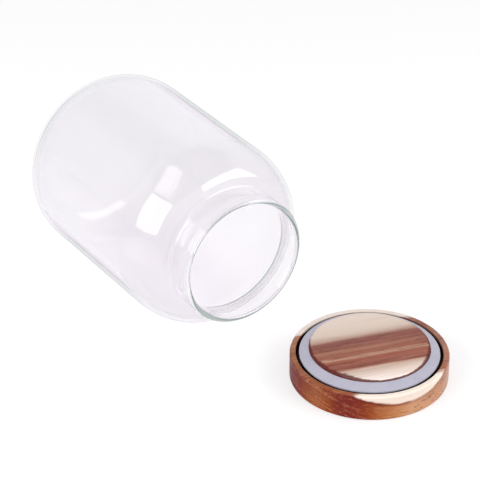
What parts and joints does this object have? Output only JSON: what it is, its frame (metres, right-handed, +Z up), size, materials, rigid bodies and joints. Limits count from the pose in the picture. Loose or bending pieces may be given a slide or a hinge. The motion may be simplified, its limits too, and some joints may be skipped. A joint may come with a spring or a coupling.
{
  "type": "lidded glass canister",
  "caption": "Round glass storage canister lying open on its side, with a turned wooden lid and a sloping silicone seal resting beside its mouth.",
  "frame": {"origin": "middle of the bottom of the box round the whole object, on the surface it lies on", "axes": "+X along the jar's axis from its base to its mouth, +Z up, +Y to the side where the lid lies"},
  "size_m": [0.3416, 0.181, 0.142],
  "materials": {
    "glass": "clear, fire polished",
    "wood": "satin oiled hardwood, banded grain",
    "silicone": "matte translucent silicone"
  },
  "bodies": {
    "jar": {"glass_jar": "glass"},
    "lid": {"wooden_lid": "wood", "silicone_seal": "silicone"}
  },
  "joints": [
    {"name": "lid_close", "type": "hinge", "parent": "jar", "child": "lid", "pos_m": [0.0471, 0.01191, 0.00805], "axis": [0.355, -0.8649, -0.355], "range_deg": [0, 98.29]}
  ]
}
